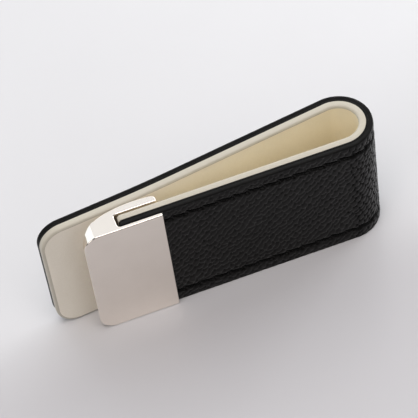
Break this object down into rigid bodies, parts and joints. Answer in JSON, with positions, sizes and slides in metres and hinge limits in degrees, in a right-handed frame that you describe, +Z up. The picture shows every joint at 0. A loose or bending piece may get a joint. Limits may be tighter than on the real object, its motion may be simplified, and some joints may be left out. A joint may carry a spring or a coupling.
{
  "type": "money clip",
  "caption": "Leather money clip: a laminated strap folded into a sprung U, black grained outside and cream inside, with a polished metal clasp whose jaw grips notes.",
  "frame": {"origin": "middle of the bounding box, at its base, with the clip standing on the strap's long edge", "axes": "+X along the clip from the mouth to the fold, +Z up across the strap's width, and -Y out of the clasp's front face"},
  "size_m": [0.0626, 0.0134, 0.025],
  "materials": {
    "cover_leather": "black, fine embossed grain, semi-gloss, painted edges",
    "lining_leather": "cream, smooth, soft sheen",
    "filler_board": "black bonded leather board",
    "spring_steel": "tempered strip",
    "stitching": "black waxed thread",
    "clasp_metal": "mirror polished",
    "pin_metal": "polished"
  },
  "bodies": {
    "rear_leg": {"rear_cover": "cover_leather", "rear_lining": "lining_leather", "rear_filler": "filler_board", "rear_spring": "spring_steel", "rear_thread": "stitching"},
    "front_leg": {"front_cover": "cover_leather", "front_lining": "lining_leather", "front_filler": "filler_board", "front_spring": "spring_steel", "front_thread_lower": "stitching", "front_thread_upper": "stitching", "clasp": "clasp_metal", "retaining_pin_lower": "pin_metal", "retaining_pin_upper": "pin_metal"}
  },
  "joints": [
    {"name": "mouth_flex", "type": "hinge", "parent": "rear_leg", "child": "front_leg", "pos_m": [0.0313, 0.00038, 0.0125], "axis": [0, 0, 1], "range_deg": [0, 10], "stiffness_Nm_per_rad": 0.8, "springref_deg": -8.59}
  ]
}
